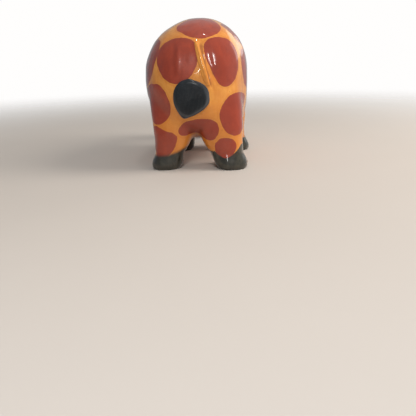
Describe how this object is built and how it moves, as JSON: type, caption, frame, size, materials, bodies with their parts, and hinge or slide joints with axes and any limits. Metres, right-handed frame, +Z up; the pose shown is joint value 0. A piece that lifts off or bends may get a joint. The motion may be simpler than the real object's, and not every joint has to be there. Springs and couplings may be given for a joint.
{
  "type": "carved giraffe statue",
  "caption": "Small stout hand-carved wooden giraffe figurine, painted with patches and varnished, standing on four short legs with its neck arched down.",
  "frame": {"origin": "middle of the statue's overall box, on the surface that its four soles stand on", "axes": "+Z up; the giraffe faces -Y, so its tail is at +Y; +X is its own left side"},
  "size_m": [0.0762, 0.1554, 0.103],
  "materials": {
    "painted_wood": "hand painted in orange brown with red brown patches, gloss varnish",
    "horn_wood": "hand painted, black knobs, gloss varnish",
    "black_wood": "painted black, gloss varnish",
    "black_bead": "polished",
    "bare_wood": "bare, turned"
  },
  "bodies": {
    "root": {"body_block": "painted_wood", "neck_block": "painted_wood", "head_block": "painted_wood", "left_ear": "painted_wood", "right_ear": "painted_wood", "left_horn": "horn_wood", "right_horn": "horn_wood", "left_eye": "black_bead", "right_eye": "black_bead", "tail_strip": "painted_wood", "tail_tuft": "black_wood", "tail_tuft_peg": "bare_wood", "neck_dowel": "bare_wood", "head_dowel": "bare_wood"}
  },
  "joints": []
}
